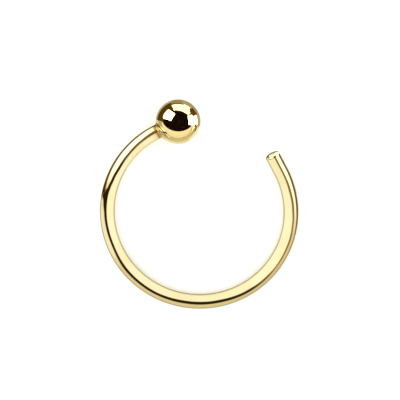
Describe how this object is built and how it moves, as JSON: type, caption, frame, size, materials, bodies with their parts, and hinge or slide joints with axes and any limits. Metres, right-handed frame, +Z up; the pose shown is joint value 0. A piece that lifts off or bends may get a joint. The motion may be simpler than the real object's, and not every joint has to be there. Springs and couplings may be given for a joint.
{
  "type": "nose ring",
  "caption": "Open nose hoop of round gold-coloured wire with a small ball soldered on one end and a plain cut end across the gap, lying on its side.",
  "frame": {"origin": "centre of the bounding box's base: the surface that the ring lies on", "axes": "+Z up from that surface, +Y towards the ball and the gap, +X towards the cut end's side"},
  "size_m": [0.0094, 0.01, 0.0021],
  "materials": {
    "gold": "surgical steel plated in pale yellow gold and polished, with fine drawing lines along the wire and a duller collar of solder at the ball"
  },
  "bodies": {
    "root": {"nose_ring": "gold"}
  },
  "joints": []
}
